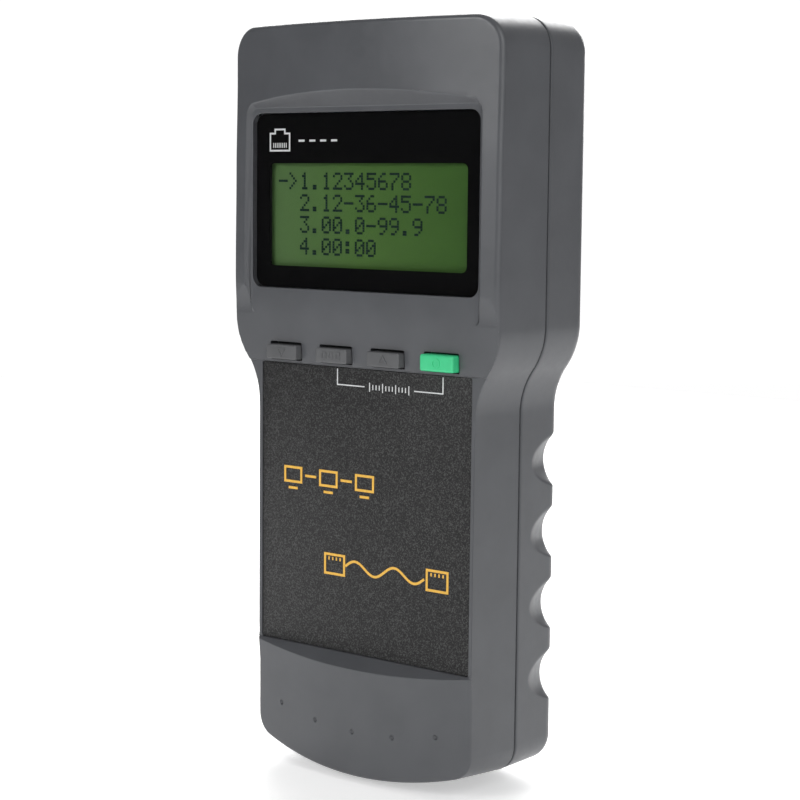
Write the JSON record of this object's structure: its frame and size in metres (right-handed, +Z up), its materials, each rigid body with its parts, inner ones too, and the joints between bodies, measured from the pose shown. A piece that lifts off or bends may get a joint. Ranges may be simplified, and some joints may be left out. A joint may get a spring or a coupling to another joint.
{
  "type": "network cable tester",
  "caption": "Handheld cable tester: wide head with a four-row display and push keys, narrower handle with finger scallops, RJ45 sockets in the top end.",
  "frame": {"origin": "bottom centre of the whole tester's box, standing upright", "axes": "+Z up along the body towards the sockets, -Y out of the display, +X to the right of someone facing the display"},
  "size_m": [0.0838, 0.0395, 0.186],
  "materials": {
    "shell": "satin, fine grain",
    "lens": "high gloss",
    "label": "fine speckled texture",
    "key": "satin",
    "power_key": "satin",
    "black_plastic": "satin",
    "steel": "plated",
    "display": "smooth",
    "diffuser": "frosted",
    "board": "solder mask",
    "brass": "plated",
    "blue_sleeve": "shrink sleeve",
    "battery_case": "printed sleeve",
    "red_lead": "smooth",
    "foam": "open foam"
  },
  "bodies": {
    "case": {"front_shell": "shell", "back_shell": "shell", "display_lens": "lens", "label_plate": "label", "key_switches": "steel", "lcd_bezel": "steel", "lcd_glass": "display", "lcd_backlight": "diffuser", "display_board": "board", "main_board": "board", "board_spacers": "brass", "board_screws": "steel", "header_block": "black_plastic", "header_pins": "brass", "jack_main_housing": "black_plastic", "jack_main_shield": "steel", "jack_main_contacts": "brass", "jack_loop_housing": "black_plastic", "jack_loop_shield": "steel", "jack_loop_contacts": "brass", "controller_chip": "black_plastic", "line_drivers": "black_plastic", "crystal": "steel", "buzzer": "black_plastic", "capacitors": "blue_sleeve", "battery": "battery_case", "battery_terminals": "steel", "battery_snap": "black_plastic", "lead_red": "red_lead", "lead_black": "black_plastic", "case_screws": "steel"},
    "key_down_button": {"key_down": "key", "plunger_down": "black_plastic"},
    "key_pair_button": {"key_pair": "key", "plunger_pair": "black_plastic"},
    "key_up_button": {"key_up": "key", "plunger_up": "black_plastic"},
    "key_power_button": {"key_power": "power_key", "plunger_power": "black_plastic"},
    "door": {"battery_door": "shell", "battery_pad": "foam"}
  },
  "joints": [
    {"name": "press_down", "type": "slide", "parent": "case", "child": "key_down_button", "axis": [0, 1, 0], "range_m": [0, 0.0006], "stiffness_N_per_m": 1500, "springref_m": -0.0002},
    {"name": "press_pair", "type": "slide", "parent": "case", "child": "key_pair_button", "axis": [0, 1, 0], "range_m": [0, 0.0006], "stiffness_N_per_m": 1500, "springref_m": -0.0002},
    {"name": "press_up", "type": "slide", "parent": "case", "child": "key_up_button", "axis": [0, 1, 0], "range_m": [0, 0.0006], "stiffness_N_per_m": 1500, "springref_m": -0.0002},
    {"name": "press_power", "type": "slide", "parent": "case", "child": "key_power_button", "axis": [0, 1, 0], "range_m": [0, 0.0006], "stiffness_N_per_m": 1500, "springref_m": -0.0002},
    {"name": "door_swing", "type": "hinge", "parent": "case", "child": "door", "pos_m": [0, 0.0198, 0.026], "axis": [-1, 0, 0], "range_deg": [0, 75]}
  ]
}
